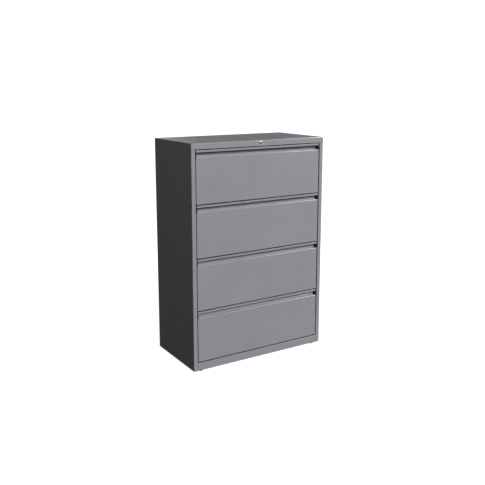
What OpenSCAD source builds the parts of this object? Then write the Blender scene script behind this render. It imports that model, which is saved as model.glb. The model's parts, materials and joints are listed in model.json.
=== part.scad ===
// Four-drawer lateral filing cabinet, in folded sheet steel.
// X runs across the front, Y from the front to the back, Z up from the floor.
// The origin is at the middle of the footprint, on the floor.

/* [Case] */
// Width of the case
case_w = 914.4; // [800:0.1:1100]
// Depth of the case, from its front plane to its back
case_d = 473.1; // [465:0.1:520]
// Height of the case above its glides
case_h = 1325.5; // [1250:0.5:1400]
// Thickness of the case and drawer front sheet
sheet_t = 1; // [0.8:0.1:1.2]
// Width of the stile on each side of the drawers
stile_w = 25.4; // [25:0.1:32]
// Height of the rail above the top drawer
top_rail_h = 34.5; // [34:0.5:45]
// Height of the rail below the bottom drawer
base_rail_h = 46.5; // [45:0.5:60]
// Outer radius of the bend along the top front edge
top_bend = 4.5; // [2:0.5:6]

/* [Drawers] */
// Gap between two drawer fronts, and between a front and the stiles
gap = 5.4; // [3:0.1:6]
// Gap between the top rail and the top drawer front
top_gap = 4.2; // [2.4:0.1:6]
// Gap between the bottom drawer front and the bottom rail
base_gap = 5.7; // [3:0.1:7]
// How far the drawer fronts stand behind the frame
front_recess = 2.5; // [1:0.5:4]
// Depth of a drawer body behind its front
tub_d = 402; // [380:1:405]
// Height of the drawer sides
tub_side_h = 235; // [180:1:240]
// Thickness of the drawer body sheet
tub_t = 0.8; // [0.6:0.1:1]
// Distance between the two hanging file rails
file_rail_pitch = 320; // [300:1:340]

/* [Pull] */
// Height of the strip that the fingers hook behind
strip_h = 12.5; // [10:0.5:16]
// Height of the opening below the strip
pull_opening = 24.5; // [18:0.5:26]
// Depth of the pull recess
pull_d = 29; // [24:0.5:29]
// Outer radius of the rounded lip below the opening
lip_r = 6; // [5:0.5:10]
// Bend between the back and the floor of the recess
pull_bend = 7; // [5:0.5:12]
// Slope of the recess floor, down from the lip to the back
pull_slope = 18; // [0:1:22]
// Width of the plastic cap at each end of the recess
cap_w = 2.5; // [2:0.1:8]

/* [Feet] */
// Height of the glides under the case
glide_h = 8; // [6:0.5:14]
// Radius of a glide's pad
glide_r = 11; // [9:0.5:13]
// Distance from the side of the case to a glide's axis
glide_in_x = 52; // [45:1:70]
// Distance from the front or back of the case to a glide's axis
glide_in_y = 18; // [17:0.5:24]

/* [Lock] */
// Radius of the lock's chrome bezel
bezel_r = 12; // [11:0.5:13]
// How far the bezel stands out of the front plane
lock_proud = 2; // [1:0.5:3]
// Radius of the lock plug
plug_r = 6; // [5:0.5:6.5]
// Turning radius of the cam's peg
cam_arm = 8; // [7:0.5:8]

/* [Hidden] */
drawers = 4;
steps = 6;                      // flats in a rounded bend
$fn = 48;

front_y = (lock_proud - case_d) / 2;
pitch = (case_h - top_rail_h - top_gap - base_rail_h - base_gap + gap) / drawers;
front_h = pitch - gap;
front_w = case_w - 2 * stile_w - 2 * gap;
inner_x = case_w / 2 - sheet_t;         // inner face of a side panel
stile_x = case_w / 2 - stile_w;         // inner edge of a stile
case_top = case_h - top_rail_h;         // underside of the top rail

hem_t = 2;                              // between the two layers of a hem
shelf_drop = 7;                         // from the top of a strip or rail to the shelf behind it
cap_plate = 1.2;
cap_clear = 0.15;
return_t = 1.2;
lip_rise = (lip_r - sheet_t / 2) * (tan(pull_slope) + 1 / cos(pull_slope) - 1);
pull_fall = (pull_d - sheet_t) * tan(pull_slope) - lip_rise;
return_top = front_h - strip_h - pull_opening - pull_fall - lip_r + 3;

tub_y = 30;                             // front wall of the drawer body
tub_z = 8;                              // underside of the drawer body
slide_space = 12.8;                     // room for a slide on each side
tub_w = 2 * (stile_x - slide_space);
tub_top = tub_z + tub_side_h;
hem = 6.5;

slide_y = 42;
slide_len = 400;
slide_z = 45;
slide_t = 1.2;

upright_t = 1.2;
upright_w = 25;
upright_front_y = 50;
upright_rear_y = front_recess + slide_y + slide_len - upright_w - 2;
upright_z = sheet_t;
upright_h = case_top - 6 - upright_z;
slot_pitch = pitch / 8;

lock_z = case_h - top_rail_h / 2;
lock_hole_r = 9.55;
running = 0.05;                         // radial clearance of a running fit
slot_play = 0.4;                        // clearance of a peg in its slot
peg_r = 2;
peg_x = cam_arm * sin(45);
cam_y = 26;
link_y = 29.5;
link_low = 0.6;
link_high = 13;
crank_y = 32;
bar_y = 35;
plate_t = 2;
crank_arm = 12;
crank_rest = asin(peg_x / crank_arm);
crank_pin_r = 3;
rail_back_y = 38;                       // front face of the inner top rail's back web
bar_x = stile_x + 4;
bar_w = 14;
crank_x = bar_x + bar_w / 2 - crank_arm;
crank_z = lock_z + 2.25;
bar_low = drawer_z(drawers) + 100;
tab_z = 140;                            // resting height of a bar tab in its drawer
tab_h = 8;
tab_x = stile_x - 8;
catch_y = bar_y + plate_t + 2 - front_recess;
catch_z = tab_z + tab_h + 2;
catch_h = 10;
catch_out = 9.8;

stile_return = 18;                      // depth of a stile's return behind the front plane
back_flange = 18;                       // width of the flange behind the back panel
rail_return = 7;                        // lower flange of the bottom rail
rail_shelf = 30;                        // upper flange of the bottom rail
pan_lip = 30;                           // height of the base pan's rear flange
glide_x = case_w / 2 - glide_in_x;
stem_r = 4.95;

paint = "#918f95";
zinc = "#b9bcc0";
black = "#1b1b1c";
chrome = "#dfe0e6";
iron = "#3f4042";
nylon = "#e6e4da";

// Height of drawer k's lower edge above the case bottom; drawer 1 is the top one
function drawer_z(k) = base_rail_h + base_gap + (drawers - k) * pitch;

// Folded sheet: a path of [x, y, bend radius] along the middle of the sheet
function point(path, i) = [path[i][0], path[i][1]];
function heading(path, i) =
    let (v = point(path, i + 1) - point(path, i)) v / norm(v);
function left_of(v) = [-v[1], v[0]];
function turned(v, a) = [v[0] * cos(a) - v[1] * sin(a), v[0] * sin(a) + v[1] * cos(a)];
function bend(path, i, side, n) =
    let (a = heading(path, i - 1), b = heading(path, i), r = path[i][2])
    let (turn = atan2(a[0] * b[1] - a[1] * b[0], a * b), way = sign(turn))
    let (centre = point(path, i) - a * r * tan(abs(turn) / 2) + left_of(a) * r * way)
    [for (k = [0:n]) centre - turned(left_of(a), turn * k / n) * way * (r - side * way)];
function edge(path, side, n) =
    let (last = len(path) - 1)
    concat(
        [point(path, 0) + left_of(heading(path, 0)) * side],
        [for (i = [1:last - 1]) each bend(path, i, side, n)],
        [point(path, last) + left_of(heading(path, last - 1)) * side]
    );
function folded(path, t, n = steps) =
    let (far = edge(path, -t / 2, n))
    concat(edge(path, t / 2, n), [for (i = [len(far) - 1:-1:0]) far[i]]);

// Frames: the case frame starts at the front plane and the case bottom
module in_case() {
    translate([0, front_y, glide_h]) children();
}

module in_drawer(k) {
    in_case() translate([0, front_recess, drawer_z(k)]) children();
}

module both_sides() {
    children();
    mirror([1, 0, 0]) children();
}

// An outline of depth and height, run across the cabinet about its middle
module across(width) {
    translate([-width / 2, 0, 0]) rotate([90, 0, 90]) linear_extrude(width) children();
}

// An outline of width and height, run from depth y towards the back
module backwards(y, length) {
    translate([0, y + length, 0]) rotate([90, 0, 0]) linear_extrude(length) children();
}

// A turned shape about an axis that runs to the back, its outline as [radius, depth]
module turned_back(outline) {
    rotate([-90, 0, 0]) rotate_extrude() polygon(outline);
}

module rod(r, y, length) {
    translate([0, y, 0]) rotate([-90, 0, 0]) cylinder(r = r, h = length);
}

module block(x, y, z) {
    translate([x[0], y[0], z[0]]) cube([x[1] - x[0], y[1] - y[0], z[1] - z[0]]);
}

// Case shell
// A side panel in plan: stile return, stile, side and the flange behind the back panel
module side_panel() {
    m = sheet_t / 2;
    x = case_w / 2 - m;
    shell = [
        [stile_x + m, stile_return, 0], [stile_x + m, m, 1.5], [x, m, 2],
        [x, case_d - 1.5 * sheet_t, 1.5], [x - back_flange, case_d - 1.5 * sheet_t, 0]
    ];
    plate_top = case_top - sheet_t;
    color(paint) in_case() {
        linear_extrude(case_top) polygon(folded(shell, sheet_t));
        intersection() {
            block([inner_x, case_w / 2], [0, case_d - 1.5 * sheet_t - 1.5], [plate_top, case_h]);
            translate([inner_x - 1, 0, 0]) rotate([90, 0, 90]) linear_extrude(3) union() {
                translate([top_bend, plate_top - 1]) square([case_d, case_h - plate_top + 1]);
                translate([0, plate_top - 1]) square([case_d, case_h - plate_top + 1 - top_bend]);
                translate([top_bend, case_h - top_bend]) circle(top_bend);
            }
        }
    }
}

module side_panel_right() {
    side_panel();
}

module side_panel_left() {
    mirror([1, 0, 0]) side_panel();
}

module back_panel() {
    color(paint) in_case()
        block([-inner_x + 0.5, inner_x - 0.5], [case_d - sheet_t, case_d], [1, case_h - 1.2]);
}

// The top sheet, whose front flange is the visible rail above the top drawer
module top_panel() {
    m = sheet_t / 2;
    top = case_h - m;
    outline = [
        [20, case_top + m, 0], [m, case_top + m, 1.5], [m, top, top_bend - m],
        [case_d - sheet_t - m, top, 1.5], [case_d - sheet_t - m, case_h - 20, 0]
    ];
    color(paint) in_case() difference() {
        across(2 * inner_x) polygon(folded(outline, sheet_t));
        translate([0, 0, lock_z]) rod(lock_hole_r, -1, 4);
    }
}

// The inner rail behind the lock, which carries the link's guides and the crank
module top_rail() {
    m = sheet_t / 2;
    outline = [
        [12, case_top + sheet_t + m, 0], [rail_back_y + m, case_top + sheet_t + m, 1.5],
        [rail_back_y + m, case_h - sheet_t, 0]
    ];
    color(zinc) in_case() across(2 * (bar_x - 1.3)) polygon(folded(outline, sheet_t));
}

module bottom_rail() {
    m = sheet_t / 2;
    shelf = base_rail_h - shelf_drop - m;
    outline = [
        [rail_return, m, 0], [m, m, 1.5], [m, base_rail_h - m, 1], [m + hem_t, base_rail_h - m, 1],
        [m + hem_t, shelf, 1], [rail_shelf, shelf, 1.5], [rail_shelf, shelf - 10, 0]
    ];
    color(paint) in_case() across(2 * stile_x) polygon(folded(outline, sheet_t));
}

module base_pan() {
    m = sheet_t / 2;
    rear = case_d - 1.5 * sheet_t - m - 1;
    outline = [[rail_return + 0.2, m, 0], [rear, m, 1.5], [rear, pan_lip, 0]];
    color(paint) in_case() difference() {
        across(2 * inner_x) polygon(folded(outline, sheet_t));
        at_glides() translate([0, 0, -1]) cylinder(r = stem_r + 1.5, h = 4);
        both_sides() block([stile_x - 0.5, inner_x + 1], [-1, stile_return + 0.5], [-1, 4]);
    }
}

// A slotted channel against the side panel, which holds the slides
module upright(y) {
    m = upright_t / 2;
    outline = [
        [inner_x, y + m, 0], [stile_x + m, y + m, 2],
        [stile_x + m, y + upright_w - m, 2], [inner_x, y + upright_w - m, 0]
    ];
    slots = floor(upright_h / slot_pitch) - 1;
    color(zinc) in_case() difference() {
        translate([0, 0, upright_z]) linear_extrude(upright_h)
            polygon(folded(outline, upright_t, 3));
        for (i = [0:slots], dy = [-5, 5])
            translate([stile_x - 1, y + upright_w / 2 + dy - 1.5, upright_z + (i + 0.5) * slot_pitch])
                cube([4, 3, 12]);
    }
}

module upright_front_right() {
    upright(upright_front_y);
}

module upright_front_left() {
    mirror([1, 0, 0]) upright(upright_front_y);
}

module upright_rear_right() {
    upright(upright_rear_y);
}

module upright_rear_left() {
    mirror([1, 0, 0]) upright(upright_rear_y);
}

// The steel bar that keeps the cabinet from tipping when a full drawer is open
module counterweight() {
    half = glide_x - 40;
    color(iron) in_case() block([-half, half], [case_d - 70, case_d - 14], [sheet_t, 39]);
}

// Feet
module at_glides() {
    for (x = [-1, 1], y = [glide_in_y, case_d - glide_in_y])
        translate([x * glide_x, y, 0]) children();
}

module glide_nuts() {
    color(zinc) in_case() at_glides() difference() {
        translate([-12, -8.5, sheet_t]) cube([24, 17, 8]);
        cylinder(r = stem_r + running, h = 20);
    }
}

module glide(x, y) {
    outline = [
        [0, 0], [glide_r - 1, 0], [glide_r, 1], [glide_r, glide_h - 3],
        [glide_r - 2.5, glide_h - 0.6], [stem_r, glide_h - 0.6], [stem_r, 43], [stem_r - 1, 44], [0, 44]
    ];
    color(black) translate([x * glide_x, front_y + y, 0]) rotate_extrude() polygon(outline);
}

module glide_front_left() {
    glide(-1, glide_in_y);
}

module glide_front_right() {
    glide(1, glide_in_y);
}

module glide_rear_left() {
    glide(-1, case_d - glide_in_y);
}

module glide_rear_right() {
    glide(1, case_d - glide_in_y);
}

// Lock
module at_lock() {
    in_case() translate([0, 0, lock_z]) children();
}

module lock_housing() {
    bore = plug_r + running;
    body_r = lock_hole_r - running;
    color(chrome) at_lock() turned_back([
        [bore, -lock_proud + 0.8], [bezel_r - 2, -lock_proud], [bezel_r, -lock_proud + 1.2],
        [bezel_r, 0], [body_r, 0], [body_r, cam_y - 2], [bore, cam_y - 2]
    ]);
}

module lock_nut() {
    color(zinc) at_lock() difference() {
        translate([0, sheet_t, 0]) rotate([-90, 0, 0]) cylinder(r = 14, h = 3, $fn = 6);
        rod(lock_hole_r, 0, 6);
    }
}

module lock_plug() {
    color(chrome) at_lock() {
        difference() {
            rod(plug_r, 0.3 - lock_proud, cam_y - 0.5 + lock_proud - 0.3);
            block([-0.7, 0.7], [-lock_proud - 1, 5], [-4, 4]);
        }
        block([-3, 3], [cam_y - 0.6, cam_y + plate_t + 0.5], [-3, 3]);
    }
}

// The plate on the plug's square tail, with the peg that pushes the link
module lock_cam() {
    color(zinc) at_lock() difference() {
        union() {
            rod(7.5, cam_y, plate_t);
            translate([-peg_x, 0, peg_x]) {
                rod(3.5, cam_y, plate_t);
                rod(peg_r, cam_y, 7);
            }
        }
        block([-3, 3], [cam_y - 1, cam_y + plate_t + 1], [-3, 3]);
    }
}

// The flat link from the lock to the crank beside the right stile
module lock_link() {
    pin_x = crank_x - peg_x;
    pin_z = crank_z - lock_z;
    reach = crank_arm * cos(crank_rest);
    slot = peg_r + slot_play;
    end = peg_r + 0.5;
    y = [link_y, link_y + plate_t];
    cut = [link_y - 1, link_y + plate_t + 1];
    color(zinc) at_lock() difference() {
        union() {
            block([-peg_x - 10, pin_x + 6], y, [link_low, link_high]);
            block([pin_x - 6, pin_x + 6], y, [pin_z - crank_arm - end - 2, link_high]);
        }
        block([-peg_x - slot, slot - peg_x], cut, [peg_x - end, cam_arm + end]);
        block([pin_x - slot, pin_x + slot], cut, [pin_z - crank_arm - end, pin_z - reach + end]);
    }
}

// The bell crank that turns the link's sideways push into a lift of the bar
module lock_crank() {
    color(zinc) in_case() translate([crank_x, 0, crank_z]) rotate([0, crank_rest, 0]) difference() {
        union() {
            rod(5.5, crank_y, plate_t);
            translate([crank_arm, 0, 0]) {
                rod(3.5, crank_y, plate_t);
                rod(peg_r, crank_y, bar_y - crank_y + plate_t + 0.8);
            }
            translate([0, 0, -crank_arm]) {
                rod(3.5, crank_y, plate_t);
                rod(peg_r, link_y - 0.5, crank_y - link_y + 1);
            }
            block([0, crank_arm], [crank_y, crank_y + plate_t], [-2.5, 2.5]);
            block([-2.5, 2.5], [crank_y, crank_y + plate_t], [-crank_arm, 0]);
        }
        rod(crank_pin_r + running, crank_y - 1, plate_t + 2);
    }
}

module crank_pin() {
    length = rail_back_y - link_y - plate_t - 0.3;
    color(zinc) in_case() translate([crank_x, 0, crank_z])
        rod(crank_pin_r, rail_back_y - length, length);
}

// The lifting bar, with one tab that stops each drawer's catch when it is up
module lock_bar() {
    pin_z = crank_z - peg_x;
    reach = crank_arm * cos(crank_rest);
    slot = peg_r + slot_play;
    end = peg_r + 0.5;
    y = [bar_y, bar_y + plate_t];
    color(zinc) in_case() {
        difference() {
            block([bar_x, bar_x + bar_w], y, [bar_low, pin_z + slot + 3]);
            block([crank_x + reach - end, crank_x + crank_arm + end],
                [bar_y - 1, bar_y + plate_t + 1], [pin_z - slot, pin_z + slot]);
        }
        for (k = [1:drawers])
            block([tab_x, bar_x + 0.5], y, [drawer_z(k) + tab_z, drawer_z(k) + tab_z + tab_h]);
    }
}

// Nylon guides for the link, on the inner top rail, and for the bar, on the side panel
module lock_guides() {
    play = 0.3;
    color(nylon) {
        for (x = [110, 320])
            at_lock() difference() {
                block([x, x + 12], [link_y - 1.5, rail_back_y], [link_low - 2, link_high + 2]);
                block([x - 1, x + 13], [link_y - play, link_y + plate_t + play],
                    [link_low - play, link_high + play]);
            }
        for (k = [1, 2, 4])
            in_case() translate([0, 0, drawer_z(k) + 200]) difference() {
                block([bar_x - 1.5, inner_x], [bar_y - 1.5, bar_y + plate_t + 1.5], [0, 12]);
                block([bar_x - play, bar_x + bar_w + play],
                    [bar_y - play, bar_y + plate_t + play], [-1, 13]);
            }
    }
}

// Slides: three nested channels, measured outwards from the drawer side
module slide_member(k, outline, sheet) {
    color(zinc) in_drawer(k) both_sides() translate([tub_w / 2, 0, slide_z])
        backwards(slide_y, slide_len) polygon(folded(outline, sheet, 3));
}

module slide_outer(k) {
    web = slide_space - slide_t / 2;
    slide_member(k, [
        [3.2, 19.5, 0], [3.2, 22.2, 1.2], [web, 22.2, 1.2],
        [web, -22.2, 1.2], [3.2, -22.2, 1.2], [3.2, -19.5, 0]
    ], slide_t);
}

module slide_middle(k) {
    slide_member(k, [[3.5, 17.9, 0], [9, 17.9, 1.2], [9, -17.9, 1.2], [3.5, -17.9, 0]], slide_t);
}

module slide_inner(k) {
    web = slide_t / 2;
    slide_member(k, [[7, 13.6, 0], [web, 13.6, 1.2], [web, -13.6, 1.2], [7, -13.6, 0]], slide_t);
}

// Drawers
// The front sheet from side to side: the strip's hems, shelf behind it, recess, lip, face and lower flange
function front_path() =
    let (m = sheet_t / 2, hook = front_h - strip_h + m, floor_z = front_h - strip_h - pull_opening - m)
    let (shelf = front_h - shelf_drop - m)
    [
        [m + hem_t, hook + 2.5, 0], [m + hem_t, hook, 1], [m, hook, 1], [m, front_h - m, 1],
        [m + hem_t, front_h - m, 1], [m + hem_t, shelf, 1], [pull_d - m, shelf, 2],
        [pull_d - m, floor_z - pull_fall, pull_bend], [m, floor_z + lip_rise, lip_r - m],
        [m, m, 1.5], [14, m, 1.5], [14, 10, 0]
    ];

module drawer_front(k) {
    flange = [tub_y - sheet_t, tub_y];
    half = front_w / 2;
    color(paint) in_drawer(k) {
        across(front_w - 2 * cap_plate) polygon(folded(front_path(), sheet_t, 8));
        both_sides() {
            block([half - return_t, half], [0, tub_y], [0, return_top]);
            block([tub_w / 2 - 7, half - return_t / 2], flange, [10, return_top]);
        }
    }
}

// Black plastic caps that close the ends of the recess
module pull_caps(k) {
    low = front_h - strip_h - pull_opening - sheet_t;
    inset = 0.3;
    half = front_w / 2;
    color(black) in_drawer(k) both_sides() {
        translate([half - cap_w, 0, 0]) rotate([90, 0, 90]) linear_extrude(cap_w - cap_plate) difference() {
            polygon([
                [inset, front_h - strip_h - 1], [4, front_h - strip_h - 1], [4, front_h - shelf_drop - 1],
                [pull_d - 1, front_h - shelf_drop - 1], [pull_d - 1, low - pull_fall],
                [lip_r + 2, low], [inset, low]
            ]);
            polygon(folded(front_path(), sheet_t + 2 * cap_clear, 8));
        }
        block([half - cap_plate, half], [inset, pull_d], [return_top + 0.2, front_h]);
    }
}

module drawer_tub(k) {
    x = (tub_w - tub_t) / 2;
    top = tub_top - tub_t / 2;
    floor_z = tub_z + tub_t / 2;
    outline = [
        [hem - x, top, 0], [-x, top, 1.5], [-x, floor_z, 1.5],
        [x, floor_z, 1.5], [x, top, 1.5], [x - hem, top, 0]
    ];
    color(paint) in_drawer(k) {
        backwards(tub_y, tub_d) polygon(folded(outline, tub_t, 3));
        block([-x, x], [tub_y, tub_y + tub_t], [floor_z, return_top - 10]);
        block([x, tub_w / 2 + catch_out], [catch_y, catch_y + 2], [catch_z, catch_z + catch_h]);
    }
}

module drawer_back(k) {
    y = tub_y + tub_d;
    m = tub_t / 2;
    outline = [
        [y + 10, tub_z + m, 0], [y + m, tub_z + m, 1.5], [y + m, tub_top - m, 1.5], [y + 10, tub_top - m, 0]
    ];
    color(paint) in_drawer(k) across(tub_w) polygon(folded(outline, tub_t, 3));
}

// Two bars across the drawer that hanging files hook over
module file_rails(k) {
    half = tub_w / 2 - tub_t;
    first = tub_y + (tub_d - file_rail_pitch) / 2;
    z = [tub_top - 16, tub_top - 2];
    color(zinc) in_drawer(k) for (y = [first, first + file_rail_pitch]) {
        block([-half, half], [y - 1, y + 1], z);
        both_sides() block([half - 1.5, half], [y - 10, y + 10], z);
    }
}

side_panel_left();
side_panel_right();
back_panel();
top_panel();
top_rail();
bottom_rail();
base_pan();
upright_front_left();
upright_front_right();
upright_rear_left();
upright_rear_right();
counterweight();
glide_nuts();
glide_front_left();
glide_front_right();
glide_rear_left();
glide_rear_right();
lock_housing();
lock_nut();
lock_plug();
lock_cam();
lock_link();
lock_crank();
crank_pin();
lock_bar();
lock_guides();
slide_outer(1);  // slide_outer_1
slide_outer(2);  // slide_outer_2
slide_outer(3);  // slide_outer_3
slide_outer(4);  // slide_outer_4
slide_middle(1);  // slide_middle_1
slide_middle(2);  // slide_middle_2
slide_middle(3);  // slide_middle_3
slide_middle(4);  // slide_middle_4
slide_inner(1);  // slide_inner_1
slide_inner(2);  // slide_inner_2
slide_inner(3);  // slide_inner_3
slide_inner(4);  // slide_inner_4
drawer_front(1);  // drawer_front_1
drawer_front(2);  // drawer_front_2
drawer_front(3);  // drawer_front_3
drawer_front(4);  // drawer_front_4
pull_caps(1);  // pull_caps_1
pull_caps(2);  // pull_caps_2
pull_caps(3);  // pull_caps_3
pull_caps(4);  // pull_caps_4
drawer_tub(1);  // drawer_tub_1
drawer_tub(2);  // drawer_tub_2
drawer_tub(3);  // drawer_tub_3
drawer_tub(4);  // drawer_tub_4
drawer_back(1);  // drawer_back_1
drawer_back(2);  // drawer_back_2
drawer_back(3);  // drawer_back_3
drawer_back(4);  // drawer_back_4
file_rails(1);  // file_rails_1
file_rails(2);  // file_rails_2
file_rails(3);  // file_rails_3
file_rails(4);  // file_rails_4
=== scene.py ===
import json
import math

import bmesh
import bpy
from mathutils import Matrix, Vector

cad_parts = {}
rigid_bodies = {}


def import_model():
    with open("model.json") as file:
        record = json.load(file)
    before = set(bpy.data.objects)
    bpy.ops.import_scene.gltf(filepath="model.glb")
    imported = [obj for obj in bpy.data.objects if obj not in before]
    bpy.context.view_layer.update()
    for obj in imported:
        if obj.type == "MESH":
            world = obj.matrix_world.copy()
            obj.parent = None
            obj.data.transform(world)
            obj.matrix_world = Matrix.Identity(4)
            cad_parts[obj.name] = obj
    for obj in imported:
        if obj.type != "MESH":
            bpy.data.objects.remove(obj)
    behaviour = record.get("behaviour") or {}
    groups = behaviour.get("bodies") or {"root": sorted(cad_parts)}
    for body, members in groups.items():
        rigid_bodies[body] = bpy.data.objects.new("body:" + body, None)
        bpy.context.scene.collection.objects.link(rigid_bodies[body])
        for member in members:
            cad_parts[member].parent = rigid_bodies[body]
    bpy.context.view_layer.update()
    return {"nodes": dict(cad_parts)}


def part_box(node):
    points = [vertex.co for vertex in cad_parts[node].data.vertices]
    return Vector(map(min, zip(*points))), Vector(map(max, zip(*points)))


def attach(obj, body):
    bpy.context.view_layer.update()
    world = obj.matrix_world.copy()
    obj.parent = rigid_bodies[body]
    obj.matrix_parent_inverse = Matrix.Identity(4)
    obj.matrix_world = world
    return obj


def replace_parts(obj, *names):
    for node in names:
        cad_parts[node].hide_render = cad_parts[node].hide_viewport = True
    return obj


# The looks of a four-drawer lateral filing cabinet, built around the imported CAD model.
# Lengths are in metres; X runs across the front, Y to the back and Z up from the floor.

for leftover in list(bpy.data.objects):
    bpy.data.objects.remove(leftover)
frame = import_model()

MM = 0.001
DRAWERS = (1, 2, 3, 4)
SIDES = (-1, 1)
nodes = frame["nodes"]
scene = bpy.context.scene


# ---------------------------------------------------------------- places, read from the frame

case_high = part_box("side_panel_right")[1]
front_low = {k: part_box(f"drawer_front_{k}")[0] for k in DRAWERS}
front_high = {k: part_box(f"drawer_front_{k}")[1] for k in DRAWERS}
pitch = front_low[1].z - front_low[2].z


# ---------------------------------------------------------------- camera

CAMERA_PLACE = (-2.1622, -3.5028, 1.6533)
CAMERA_YAW = math.radians(31.918)       # to the right of straight ahead
CAMERA_PITCH = math.radians(10.877)     # downwards
CAMERA_LENS = 50.04
CAMERA_SENSOR = 36
CAMERA_SHIFT = -0.06


def make_camera():
    data = bpy.data.cameras.new("camera")
    data.sensor_width = CAMERA_SENSOR
    data.lens = CAMERA_LENS
    data.shift_y = CAMERA_SHIFT
    camera = bpy.data.objects.new("camera", data)
    camera.location = CAMERA_PLACE
    camera.rotation_euler = (math.pi / 2 - CAMERA_PITCH, 0, -CAMERA_YAW)
    scene.collection.objects.link(camera)
    scene.camera = camera


make_camera()


# ---------------------------------------------------------------- studio

AIM = Vector((0, 0, 0.66))              # the middle of the cabinet
SUN_DISTANCE = 8
STAGE_RADIUS = 30
WHITE = 1.05                            # glow that renders as pure white
WORLD_COLOUR = (1.0, 0.98, 0.95, 1)
WORLD_STRENGTH = 0.033
COOL = (0.97, 0.955, 1.0)
WARM = (1.0, 0.97, 0.91)


def direction(azimuth, elevation):
    """Unit vector; azimuth 0 is in front of the cabinet and 90 at its right, in degrees."""
    a, e = math.radians(azimuth), math.radians(elevation)
    return Vector((math.sin(a) * math.cos(e), -math.cos(a) * math.cos(e), math.sin(e)))


def aimed(name, kind, way, place, power, colour):
    """A light at a place, shining against the direction way."""
    data = bpy.data.lights.new(name, kind)
    data.energy = power
    data.color = colour
    light = bpy.data.objects.new(name, data)
    light.location = place
    light.rotation_euler = way.to_track_quat("Z", "Y").to_euler()
    light.visible_camera = False
    scene.collection.objects.link(light)
    return light


def softbox(name, azimuth, elevation, distance, size, power, colour):
    """A rectangular light of size (width, height), in watts."""
    way = direction(azimuth, elevation)
    light = aimed(name, "AREA", way, AIM + way * distance, power, colour)
    light.data.shape = "RECTANGLE"
    light.data.size, light.data.size_y = size


def distant_lamp(name, azimuth, elevation, spread, power, colour):
    """An even light that doesn't fall off across the cabinet, with a spread in degrees."""
    way = direction(azimuth, elevation)
    light = aimed(name, "SUN", way, way * SUN_DISTANCE, power, colour)
    light.data.angle = math.radians(spread)


# two key lights straight ahead; the side lights draw the highlights along the pulls
distant_lamp("key_low", 0, 24, 24, 1.54, COOL)
distant_lamp("key_high", 0, 34, 14, 1.68, COOL)
softbox("side_low", 54, 33, 3.5, (1.0, 1.0), 21, COOL)
softbox("side_middle", 70, 43.6, 3.5, (1.0, 1.0), 21, COOL)
softbox("side_high", 90, 47, 3.5, (1.0, 1.0), 17, WARM)
softbox("left_fill", 264, 40, 4.0, (2.0, 2.0), 12, WARM)
softbox("back_fill", 176, 40, 4.0, (2.0, 2.0), 32, WARM)
softbox("back_edge", 112, 34, 3.5, (0.8, 2.0), 30, WARM)


def make_world():
    world = bpy.data.worlds.new("studio")
    world.use_nodes = True
    background = world.node_tree.nodes["Background"]
    background.inputs["Color"].default_value = WORLD_COLOUR
    background.inputs["Strength"].default_value = WORLD_STRENGTH
    scene.world = world
    scene.view_settings.view_transform = "Standard"


make_world()


def stage_piece(name, shape, material):
    """A piece of the stage that only the camera sees, made from a bmesh."""
    data = bpy.data.meshes.new(name)
    shape.to_mesh(data)
    shape.free()
    data.materials.append(material)
    piece = bpy.data.objects.new(name, data)
    piece.visible_diffuse = False
    piece.visible_glossy = False
    piece.visible_transmission = False
    piece.visible_shadow = False
    scene.collection.objects.link(piece)


def floor_paint():
    """Pale floor that glows as white as the backdrop, and a little less beside the cabinet."""
    paint = bpy.data.materials.new("floor_paint")
    paint.use_nodes = True
    tree = paint.node_tree
    shader = tree.nodes["Principled BSDF"]
    shader.inputs["Base Color"].default_value = (0.3, 0.3, 0.3, 1)
    shader.inputs["Roughness"].default_value = 0.9
    shader.inputs["Specular IOR Level"].default_value = 0.1
    shader.inputs["Emission Color"].default_value = (1, 1, 1, 1)
    place = tree.nodes.new("ShaderNodeTexCoord")
    away = tree.nodes.new("ShaderNodeVectorMath")
    away.operation = "LENGTH"
    glow = tree.nodes.new("ShaderNodeMapRange")
    fall = {"From Min": 0.6, "From Max": 1.4, "To Min": 0.93, "To Max": WHITE}
    for socket, number in fall.items():
        glow.inputs[socket].default_value = number
    tree.links.new(place.outputs["Object"], away.inputs[0])
    tree.links.new(away.outputs["Value"], glow.inputs["Value"])
    tree.links.new(glow.outputs[0], shader.inputs["Emission Strength"])
    return paint


def backdrop_paint():
    paint = bpy.data.materials.new("backdrop_white")
    paint.use_nodes = True
    tree = paint.node_tree
    tree.nodes.clear()
    emission = tree.nodes.new("ShaderNodeEmission")
    emission.inputs["Strength"].default_value = WHITE
    output = tree.nodes.new("ShaderNodeOutputMaterial")
    tree.links.new(emission.outputs[0], output.inputs["Surface"])
    return paint


def make_stage():
    disc = bmesh.new()
    bmesh.ops.create_circle(disc, cap_ends=True, segments=96, radius=STAGE_RADIUS)
    bmesh.ops.translate(disc, verts=disc.verts, vec=(0, 0, -0.1 * MM))
    stage_piece("floor", disc, floor_paint())
    dome = bmesh.new()
    bmesh.ops.create_uvsphere(dome, u_segments=48, v_segments=24, radius=STAGE_RADIUS)
    stage_piece("backdrop", dome, backdrop_paint())


make_stage()


# ---------------------------------------------------------------- materials

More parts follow.
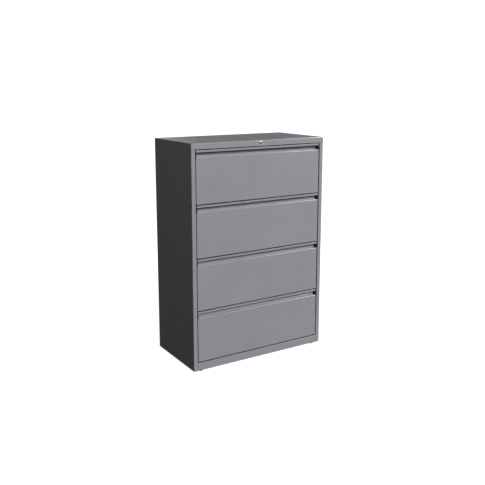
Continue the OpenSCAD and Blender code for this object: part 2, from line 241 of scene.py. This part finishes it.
class Graph:
    """A material under construction: short calls for the shader nodes used below."""

    def __init__(self, name):
        self.material = bpy.data.materials.new(name)
        self.material.use_nodes = True
        self.tree = self.material.node_tree
        self.shader = self.tree.nodes["Principled BSDF"]
        self.place = self.add("ShaderNodeTexCoord").outputs["Object"]

    def add(self, kind, **settings):
        node = self.tree.nodes.new(kind)
        for key, value in settings.items():
            setattr(node, key, value)
        return node

    def feed(self, socket, value):
        if isinstance(value, bpy.types.NodeSocket):
            self.tree.links.new(value, socket)
        else:
            socket.default_value = value[:3] if socket.type == "VECTOR" else value

    def math(self, operation, a, b=0.0):
        node = self.add("ShaderNodeMath", operation=operation)
        self.feed(node.inputs[0], a)
        self.feed(node.inputs[1], b)
        return node.outputs[0]

    def stretched(self, x, y, z):
        node = self.add("ShaderNodeVectorMath", operation="MULTIPLY")
        self.feed(node.inputs[0], self.place)
        node.inputs[1].default_value = (x, y, z)
        return node.outputs[0]

    def noise(self, scale, detail=2.0, roughness=0.5, where=None):
        node = self.add("ShaderNodeTexNoise")
        self.feed(node.inputs["Vector"], where or self.place)
        node.inputs["Scale"].default_value = scale
        node.inputs["Detail"].default_value = detail
        node.inputs["Roughness"].default_value = roughness
        return node.outputs["Fac"]

    def cells(self, scale, output="Distance"):
        node = self.add("ShaderNodeTexVoronoi")
        self.feed(node.inputs["Vector"], self.place)
        node.inputs["Scale"].default_value = scale
        return node.outputs[output]

    def fitted(self, value, low, high, to_low, to_high):
        """Maps low..high of a value to to_low..to_high, and holds it at the ends."""
        node = self.add("ShaderNodeMapRange")
        self.feed(node.inputs["Value"], value)
        ends = {"From Min": low, "From Max": high, "To Min": to_low, "To Max": to_high}
        for socket, number in ends.items():
            self.feed(node.inputs[socket], number)
        return node.outputs[0]

    def mixed(self, factor, a, b):
        """Colour a where factor is 0 and b where it is 1."""
        node = self.add("ShaderNodeMix", data_type="RGBA")
        self.feed(node.inputs["Factor"], factor)
        self.feed(node.inputs["A"], a)
        self.feed(node.inputs["B"], b)
        return node.outputs["Result"]

    def shaded(self, colour, value):
        """A colour times a number."""
        node = self.add("ShaderNodeVectorMath", operation="SCALE")
        self.feed(node.inputs[0], colour)
        self.feed(node.inputs["Scale"], value)
        return node.outputs[0]

    def xyz(self, axis, source=None):
        node = self.add("ShaderNodeSeparateXYZ")
        self.feed(node.inputs[0], source or self.place)
        return node.outputs[axis]

    def bumps(self, *layers):
        """Relief of several layers, each a height from 0 to 1 and its depth in metres."""
        normal = None
        for height, depth in layers:
            node = self.add("ShaderNodeBump")
            node.inputs["Distance"].default_value = depth
            node.inputs["Strength"].default_value = 1.0
            self.feed(node.inputs["Height"], height)
            if normal is not None:
                self.feed(node.inputs["Normal"], normal)
            normal = node.outputs[0]
        self.feed(self.shader.inputs["Normal"], normal)

    def finish(self, colour, roughness, metallic=0.0):
        self.feed(self.shader.inputs["Base Color"], colour)
        self.feed(self.shader.inputs["Roughness"], roughness)
        self.shader.inputs["Metallic"].default_value = metallic
        return self.material


def rgb(r, g, b):
    return (r, g, b, 1.0)


PAINT = rgb(0.322, 0.317, 0.338)
DRAWER_PAINT = rgb(0.285, 0.277, 0.295)
SCUFF = rgb(0.42, 0.42, 0.42)
DUST = rgb(0.40, 0.39, 0.36)
GREASE = rgb(0.14, 0.135, 0.13)
ZINC = rgb(0.62, 0.635, 0.65)
CHROME = rgb(0.80, 0.79, 0.82)
BLACK = rgb(0.012, 0.012, 0.013)
SOOT = rgb(0.020, 0.020, 0.021)
IVORY = rgb(0.66, 0.64, 0.56)
PRIMER = rgb(0.030, 0.031, 0.033)
THIN_PRIMER = rgb(0.060, 0.052, 0.046)

SCUFF_HEIGHTS = (0.01, 0.16)            # scuffs thin out between these
HANDS_BELOW = 24 * MM                   # from a drawer's top edge to where hands touch it
HANDS_FADE = 0.10                       # below that, over which the smudges fade
HANDS_ACROSS = (0.08, 0.34)             # from the middle, between which they fade
WELD_INSET = 10 * MM                    # from the back's side edges to its spot welds
WELD_PITCH = 75 * MM
WELD_START = 37 * MM                    # height of the lowest weld
WELD_RADII = (2.2 * MM, 3.4 * MM)       # of a weld's flat bottom and of its rim
WELD_DEPTH = 0.35 * MM


def powder_coat(name, colour, grain=1.0, touched=False, welded=False):
    """Satin powder coat: orange peel, faint sheet waves, flake, dust, and scuffs near the floor."""
    g = Graph(name)
    height = g.xyz(2)
    cloud = g.noise(4.5, 3, 0.55)
    flake = g.noise(1600, 1, 0.5)
    tone = g.math("ADD", g.fitted(cloud, 0.3, 0.7, 0.965, 1.035),
                  g.fitted(flake, 0.3, 0.7, -0.03, 0.03))
    paint = g.shaded(colour, tone)

    # scuffs: short level scratches that thin out above the base
    rubs = g.noise(1.0, 4, 0.65, g.stretched(14, 14, 260))
    near_floor = g.fitted(height, *SCUFF_HEIGHTS, 1.0, 0.0)
    scuff = g.math("MULTIPLY", g.fitted(rubs, 0.60, 0.68, 0.0, 1.0), near_floor)
    paint = g.mixed(g.math("MULTIPLY", scuff, 0.30), paint, SCUFF)

    # dust that has settled on what faces up
    facing = g.add("ShaderNodeNewGeometry").outputs["Normal"]
    up = g.fitted(g.xyz(2, facing), 0.75, 1.0, 0.0, 1.0)
    dust = g.math("MULTIPLY", up, g.fitted(g.noise(9, 5, 0.6), 0.42, 0.72, 0.0, 1.0))
    paint = g.mixed(g.math("MULTIPLY", dust, 0.10), paint, DUST)

    rough = g.fitted(g.noise(7, 4, 0.6), 0.3, 0.7, 0.28, 0.34)
    rough = g.math("ADD", rough, g.math("MULTIPLY", dust, 0.10))
    if touched:
        # fingers polish the lip under each opening and leave soft smudges on the face below it
        touch = front_high[1].z - HANDS_BELOW + len(DRAWERS) * pitch
        below = g.math("MODULO", g.math("SUBTRACT", touch, height), pitch)
        hand = g.math("MULTIPLY", g.fitted(below, 0.0, HANDS_FADE, 1.0, 0.0),
                      g.fitted(g.math("ABSOLUTE", g.xyz(0)), *HANDS_ACROSS, 1.0, 0.0))
        blots = g.fitted(g.noise(17, 2, 0.45), 0.36, 0.70, 0.0, 1.0)
        smudge = g.math("MULTIPLY", hand, blots)
        rough = g.math("SUBTRACT", rough, g.math("MULTIPLY", smudge, 0.03))
        paint = g.mixed(g.math("MULTIPLY", smudge, 0.025), paint, GREASE)

    relief = [
        (g.noise(3.2, 1, 0.4), 0.9 * MM),
        (g.noise(420, 2, 0.5), 0.016 * MM * grain),
        (g.noise(1250, 1, 0.5), 0.006 * MM * grain),
    ]
    if welded:
        # dimples of the spot welds that hold the sheet to the flanges at its sides
        across = g.math("SUBTRACT", g.math("ABSOLUTE", g.xyz(0)), case_high.x - WELD_INSET)
        along = g.math("SUBTRACT", g.math("MODULO", height, WELD_PITCH), WELD_START)
        squares = g.math("ADD", g.math("POWER", across, 2.0), g.math("POWER", along, 2.0))
        apart = g.math("SQRT", squares)
        relief.append((g.fitted(apart, *WELD_RADII, 0.0, 1.0), WELD_DEPTH))
    g.bumps(*relief)
    g.shader.inputs["Coat Weight"].default_value = 0.65
    g.shader.inputs["Coat Roughness"].default_value = 0.14
    return g.finish(paint, rough, metallic=0.12)


def zinc_plate(name, along="y"):
    """Zinc-plated steel, with rolling streaks along one axis and soft spangle."""
    g = Graph(name)
    fine, slow = 700, 5
    streaked = {"x": (slow, fine, fine), "y": (fine, slow, fine), "z": (fine, fine, slow)}[along]
    streaks = g.noise(1.0, 3, 0.6, g.stretched(*streaked))
    spangle = g.cells(90, output="Color")
    cloud = g.noise(14, 3, 0.6)
    tone = g.math("ADD", g.fitted(cloud, 0.3, 0.7, 0.90, 1.04),
                  g.fitted(g.xyz(0, spangle), 0.0, 1.0, -0.04, 0.04))
    rough = g.math("ADD", g.fitted(streaks, 0.3, 0.7, 0.27, 0.40),
                   g.fitted(cloud, 0.3, 0.7, 0.0, 0.06))
    g.bumps((streaks, 0.004 * MM), (g.noise(300, 2), 0.01 * MM))
    return g.finish(g.shaded(ZINC, tone), rough, metallic=1.0)


def chrome_plate(name):
    """Bright nickel-chrome with hairline scratches and a faint haze."""
    g = Graph(name)
    hair = g.noise(1.0, 4, 0.7, g.stretched(900, 900, 160))
    haze = g.noise(120, 3, 0.6)
    rough = g.math("ADD", g.fitted(hair, 0.55, 0.72, 0.28, 0.38),
                   g.fitted(haze, 0.4, 0.7, 0.0, 0.06))
    g.bumps((hair, 0.002 * MM), (g.noise(260, 1), 0.006 * MM))
    plate = g.shaded(CHROME, g.fitted(haze, 0.3, 0.7, 0.95, 1.0))
    return g.finish(plate, rough, metallic=1.0)


def moulded_plastic(name, colour, grain_size, rough_low, rough_high):
    """Injection-moulded plastic with an eroded grain."""
    g = Graph(name)
    grain = g.cells(1 / grain_size)
    cloud = g.noise(40, 3, 0.6)
    rough = g.math("ADD", g.fitted(cloud, 0.3, 0.7, rough_low, rough_high),
                   g.fitted(grain, 0.0, 0.8, 0.05, -0.05))
    g.bumps((grain, 0.03 * MM), (cloud, 0.05 * MM))
    return g.finish(g.shaded(colour, g.fitted(cloud, 0.3, 0.7, 0.85, 1.15)), rough)


def primed_iron(name):
    """Sawn and primed steel bar: saw marks and thin dark primer."""
    g = Graph(name)
    saw = g.noise(1.0, 3, 0.6, g.stretched(260, 12, 12))
    cloud = g.noise(22, 4, 0.6)
    g.bumps((saw, 0.08 * MM), (g.noise(380, 2), 0.04 * MM))
    thin = g.fitted(cloud, 0.45, 0.7, 0.0, 1.0)
    paint = g.mixed(thin, PRIMER, THIN_PRIMER)
    return g.finish(paint, g.fitted(cloud, 0.3, 0.7, 0.5, 0.7))


case_paint = powder_coat("case_paint", PAINT)
back_paint = powder_coat("back_paint", PAINT, welded=True)
front_paint = powder_coat("front_paint", PAINT, touched=True)
drawer_paint = powder_coat("drawer_paint", DRAWER_PAINT, grain=1.4)
zinc_long = zinc_plate("zinc_steel_long", "y")
zinc_tall = zinc_plate("zinc_steel_tall", "z")
zinc_wide = zinc_plate("zinc_steel_wide", "x")
lock_chrome = chrome_plate("lock_chrome")
ball_steel = chrome_plate("ball_steel")
black_plastic = moulded_plastic("black_plastic", BLACK, 0.55 * MM, 0.46, 0.56)
glide_plastic = moulded_plastic("glide_plastic", SOOT, 0.8 * MM, 0.50, 0.62)
nylon = moulded_plastic("nylon", IVORY, 1.2 * MM, 0.38, 0.48)
weight_iron = primed_iron("weight_iron")

# by the start of a node's name
FINISHES = {
    "side_panel": case_paint, "top_panel": case_paint, "bottom_rail": case_paint,
    "base_pan": case_paint, "back_panel": case_paint,
    "drawer_front": front_paint, "drawer_tub": drawer_paint, "drawer_back": drawer_paint,
    "pull_caps": black_plastic, "file_rails": zinc_wide, "slide_": zinc_long,
    "top_rail": zinc_wide, "upright": zinc_tall, "counterweight": weight_iron,
    "glide_": glide_plastic, "glide_nuts": zinc_wide,
    "lock_": zinc_wide, "lock_housing": lock_chrome, "lock_plug": lock_chrome,
    "lock_bar": zinc_tall, "lock_guides": nylon, "crank_pin": zinc_wide,
}


def finish_of(name):
    """The finish whose key is the longest start of the node's name."""
    key = max((key for key in FINISHES if name.startswith(key)), key=len)
    return FINISHES[key]


# ---------------------------------------------------------------- edges of the CAD nodes

SHARP = math.radians(35)
EDGE = 0.3 * MM                         # rounding of a node's edges, unless its name is below
EDGES = {
    "counterweight": 1.5 * MM, "file_rails": 0.8 * MM,
    "lock_housing": 0.2 * MM, "lock_plug": 0.15 * MM,
}


def smoothing_group():
    """Geometry nodes that shade smooth across every edge flatter than SHARP."""
    group = bpy.data.node_groups.new("smooth_by_angle", "GeometryNodeTree")
    group.interface.new_socket("Geometry", in_out="INPUT", socket_type="NodeSocketGeometry")
    group.interface.new_socket("Geometry", in_out="OUTPUT", socket_type="NodeSocketGeometry")
    start = group.nodes.new("NodeGroupInput")
    end = group.nodes.new("NodeGroupOutput")
    angle = group.nodes.new("GeometryNodeInputMeshEdgeAngle")
    flat = group.nodes.new("FunctionNodeCompare")
    flat.operation = "LESS_EQUAL"
    flat.inputs["B"].default_value = SHARP
    faces = group.nodes.new("GeometryNodeSetShadeSmooth")
    faces.domain = "FACE"
    edges = group.nodes.new("GeometryNodeSetShadeSmooth")
    edges.domain = "EDGE"
    link = group.links.new
    link(angle.outputs["Unsigned Angle"], flat.inputs["A"])
    link(start.outputs[0], faces.inputs["Geometry"])
    link(faces.outputs[0], edges.inputs["Geometry"])
    link(flat.outputs[0], edges.inputs["Shade Smooth"])
    link(edges.outputs[0], end.inputs[0])
    return group


smoothing = smoothing_group()


def soften(piece, width):
    """Welds the seams, rounds the sharp edges and shades smooth, with flat faces left flat."""
    weld = piece.modifiers.new("weld", "WELD")
    weld.merge_threshold = 0.002 * MM
    bevel = piece.modifiers.new("round_edges", "BEVEL")
    bevel.width = width
    bevel.segments = 2
    bevel.limit_method = "ANGLE"
    bevel.angle_limit = SHARP
    bevel.use_clamp_overlap = True
    shade = piece.modifiers.new("smooth", "NODES")
    shade.node_group = smoothing
    weigh = piece.modifiers.new("flat_faces", "WEIGHTED_NORMAL")
    weigh.mode = "FACE_AREA"
    weigh.weight = 90
    weigh.keep_sharp = True


for name, node in nodes.items():
    node.data.materials.clear()
    node.data.materials.append(finish_of(name))
    soften(node, next((width for key, width in EDGES.items() if name.startswith(key)), EDGE))


# ---------------------------------------------------------------- pieces beside the CAD nodes

class Solid:
    """A mesh gathered from small closed solids, which becomes one piece."""

    def __init__(self):
        self.mesh = bmesh.new()

    def turned(self, profile, place, axis, segments=20):
        """A turned solid: profile is (radius, height) pairs from the axis out and back to it."""
        turn = Vector(axis).to_track_quat("Z", "Y").to_matrix().to_4x4()
        where = Matrix.Translation(place) @ turn
        rings = []
        for radius, height in profile:
            count = segments if radius else 1
            ring = []
            for a in [2 * math.pi * n / segments for n in range(count)]:
                point = Vector((radius * math.cos(a), radius * math.sin(a), height))
                ring.append(self.mesh.verts.new(where @ point))
            rings.append(ring)
        for ring, above in zip(rings, rings[1:]):
            for n in range(segments):
                m = n + 1
                quad = [ring[n % len(ring)], ring[m % len(ring)],
                        above[m % len(above)], above[n % len(above)]]
                self.mesh.faces.new(list(dict.fromkeys(quad)))

    def ball(self, place, radius):
        steps = 8
        angles = [math.pi * n / steps for n in range(1, steps)]
        profile = [(radius * math.sin(a), -radius * math.cos(a)) for a in angles]
        self.turned([(0, -radius), *profile, (0, radius)], place, (0, 1, 0), segments=12)

    def box(self, low, high):
        made = bmesh.ops.create_cube(self.mesh, size=1)["verts"]
        bmesh.ops.scale(self.mesh, vec=Vector(high) - Vector(low), verts=made)
        bmesh.ops.translate(self.mesh, vec=(Vector(low) + Vector(high)) / 2, verts=made)

    def piece(self, name, material, body, slot, edge=0.2 * MM):
        data = bpy.data.meshes.new(name)
        bmesh.ops.recalc_face_normals(self.mesh, faces=self.mesh.faces)
        self.mesh.to_mesh(data)
        self.mesh.free()
        data.materials.append(material)
        made = bpy.data.objects.new(name, data)
        scene.collection.objects.link(made)
        soften(made, edge)
        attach(made, body)
        return made


INNER_MEMBER = 7 * MM                   # width of an inner slide member
SLIDE_SHEET = 1.2 * MM
DRAWER_SHEET = 0.8 * MM

# ball rows of a slide, measured from the drawer's side, the slide's middle line and its front end
OUTER_ROW = {"out": 6.6 * MM, "up": 20.05 * MM, "start": 250 * MM}
INNER_ROW = {"out": 4.9 * MM, "up": 15.75 * MM, "start": 15 * MM}
BALLS = 18
BALL = 1.45 * MM                        # radius
BALL_PITCH = 7.5 * MM
CAGE_PAST = 4 * MM                      # of a cage past the middle of its last ball
CAGE_HALF = (0.5 * MM, 1.1 * MM)        # half of a cage's thickness and height

# turned profiles, in millimetres
RIVET = [(0, 1.3), (1.6, 1.2), (2.9, 0.8), (3.5, 0.0), (0, 0.0)]
SCREW = [(0, 0.7), (1.3, 0.7), (1.3, 1.5), (1.9, 1.4), (2.5, 0.9), (2.6, 0.0), (0, 0.0)]
FASTENER_EDGE = 0.1 * MM
RIVETS_ALONG = (35, 135, 265, 365)      # from the slide's front end, in millimetres
SCREWS_UP = (36, 128, 220)              # from the drawer's underside, in millimetres
SCREW_INSET = 4.4 * MM


def slide_place(k):
    """Height and front end of drawer k's slides, and how far its side stands from the middle."""
    low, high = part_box(f"slide_inner_{k}")
    return (low.z + high.z) / 2, low.y, high.x - INNER_MEMBER


def make_ball_rows(k):
    """Balls and their cages, which run between the members of drawer k's slides."""
    height, front, side = slide_place(k)
    thick, tall = CAGE_HALF
    balls, cages = Solid(), Solid()
    for s in SIDES:
        for row in (OUTER_ROW, INNER_ROW):
            x = s * (side + row["out"])
            first = front + row["start"]
            last = first + BALL_PITCH * (BALLS - 1)
            for up in SIDES:
                z = height + up * row["up"]
                for n in range(BALLS):
                    balls.ball((x, first + n * BALL_PITCH, z), BALL)
                cages.box((x - thick, first - CAGE_PAST, z - tall),
                          (x + thick, last + CAGE_PAST, z + tall))
    balls.piece(f"slide_balls_{k}", ball_steel, f"slide_middle_{k}", "zinc_steel")
    cages.piece(f"slide_cages_{k}", nylon, f"slide_middle_{k}", "nylon")


def scaled(profile):
    return [(radius * MM, height * MM) for radius, height in profile]


def make_fasteners(k):
    """Rivets that hold the inner slide members, and screws that hold the drawer front."""
    height, front, side = slide_place(k)
    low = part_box(f"drawer_tub_{k}")[0]
    rivets, screws = Solid(), Solid()
    for s in SIDES:
        for along in RIVETS_ALONG:
            y = front + along * MM
            rivets.turned(scaled(RIVET), (s * (side - DRAWER_SHEET), y, height), (-s, 0, 0))
            rivets.turned(scaled(RIVET), (s * (side + SLIDE_SHEET), y, height), (s, 0, 0))
        for up in SCREWS_UP:
            place = (s * (side - SCREW_INSET), low.y + DRAWER_SHEET, low.z + up * MM)
            screws.turned(scaled(SCREW), place, (0, 1, 0))
    rivets.piece(f"slide_rivets_{k}", zinc_wide, f"drawer_{k}", "zinc_steel", FASTENER_EDGE)
    screws.piece(f"front_screws_{k}", zinc_wide, f"drawer_{k}", "zinc_steel", FASTENER_EDGE)


BEADS = (-0.27, 0.0, 0.27)
BEAD_END = 0.16                         # from the back's top and bottom to the ends of its beads
BEAD_REACH = 16 * MM
BEAD_DEPTH = 2.2 * MM
BEAD_STEPS = 8


def make_back_sheet():
    """The back panel as pressed: three shallow beads stiffen it, sunk towards the inside."""
    low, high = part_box("back_panel")
    bead_low, bead_high = low.z + BEAD_END, high.z - BEAD_END
    around = [BEAD_REACH * n / BEAD_STEPS for n in range(-BEAD_STEPS, BEAD_STEPS + 1)]
    xs = [low.x, *(bead + n for bead in BEADS for n in around), high.x]
    zs = [low.z, *(bead_low + n for n in around), *(bead_high + n for n in around), high.z]

    def sunk(x, z):
        past = max(bead_low - z, z - bead_high, 0)
        distance = min(math.hypot(x - bead, past) for bead in BEADS)
        part = max(0.0, 1 - distance / BEAD_REACH)
        return BEAD_DEPTH * part * part * (3 - 2 * part)

    sheet = Solid()
    outer = [[sheet.mesh.verts.new((x, high.y - sunk(x, z), z)) for x in xs] for z in zs]
    inner = [[sheet.mesh.verts.new((x, low.y - sunk(x, z), z)) for x in xs] for z in zs]
    for layer in (outer, inner):
        for row, above in zip(layer, layer[1:]):
            for n in range(len(xs) - 1):
                sheet.mesh.faces.new((row[n], row[n + 1], above[n + 1], above[n]))
    rims = [
        [(0, n) for n in range(len(xs))], [(len(zs) - 1, n) for n in range(len(xs))],
        [(n, 0) for n in range(len(zs))], [(n, len(xs) - 1) for n in range(len(zs))],
    ]
    for side in rims:
        for (a, b), (c, d) in zip(side, side[1:]):
            sheet.mesh.faces.new((outer[a][b], outer[c][d], inner[c][d], inner[a][b]))
    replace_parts(sheet.piece("back_sheet", back_paint, "case", "case_paint"), "back_panel")


for k in DRAWERS:
    make_ball_rows(k)
    make_fasteners(k)
make_back_sheet()
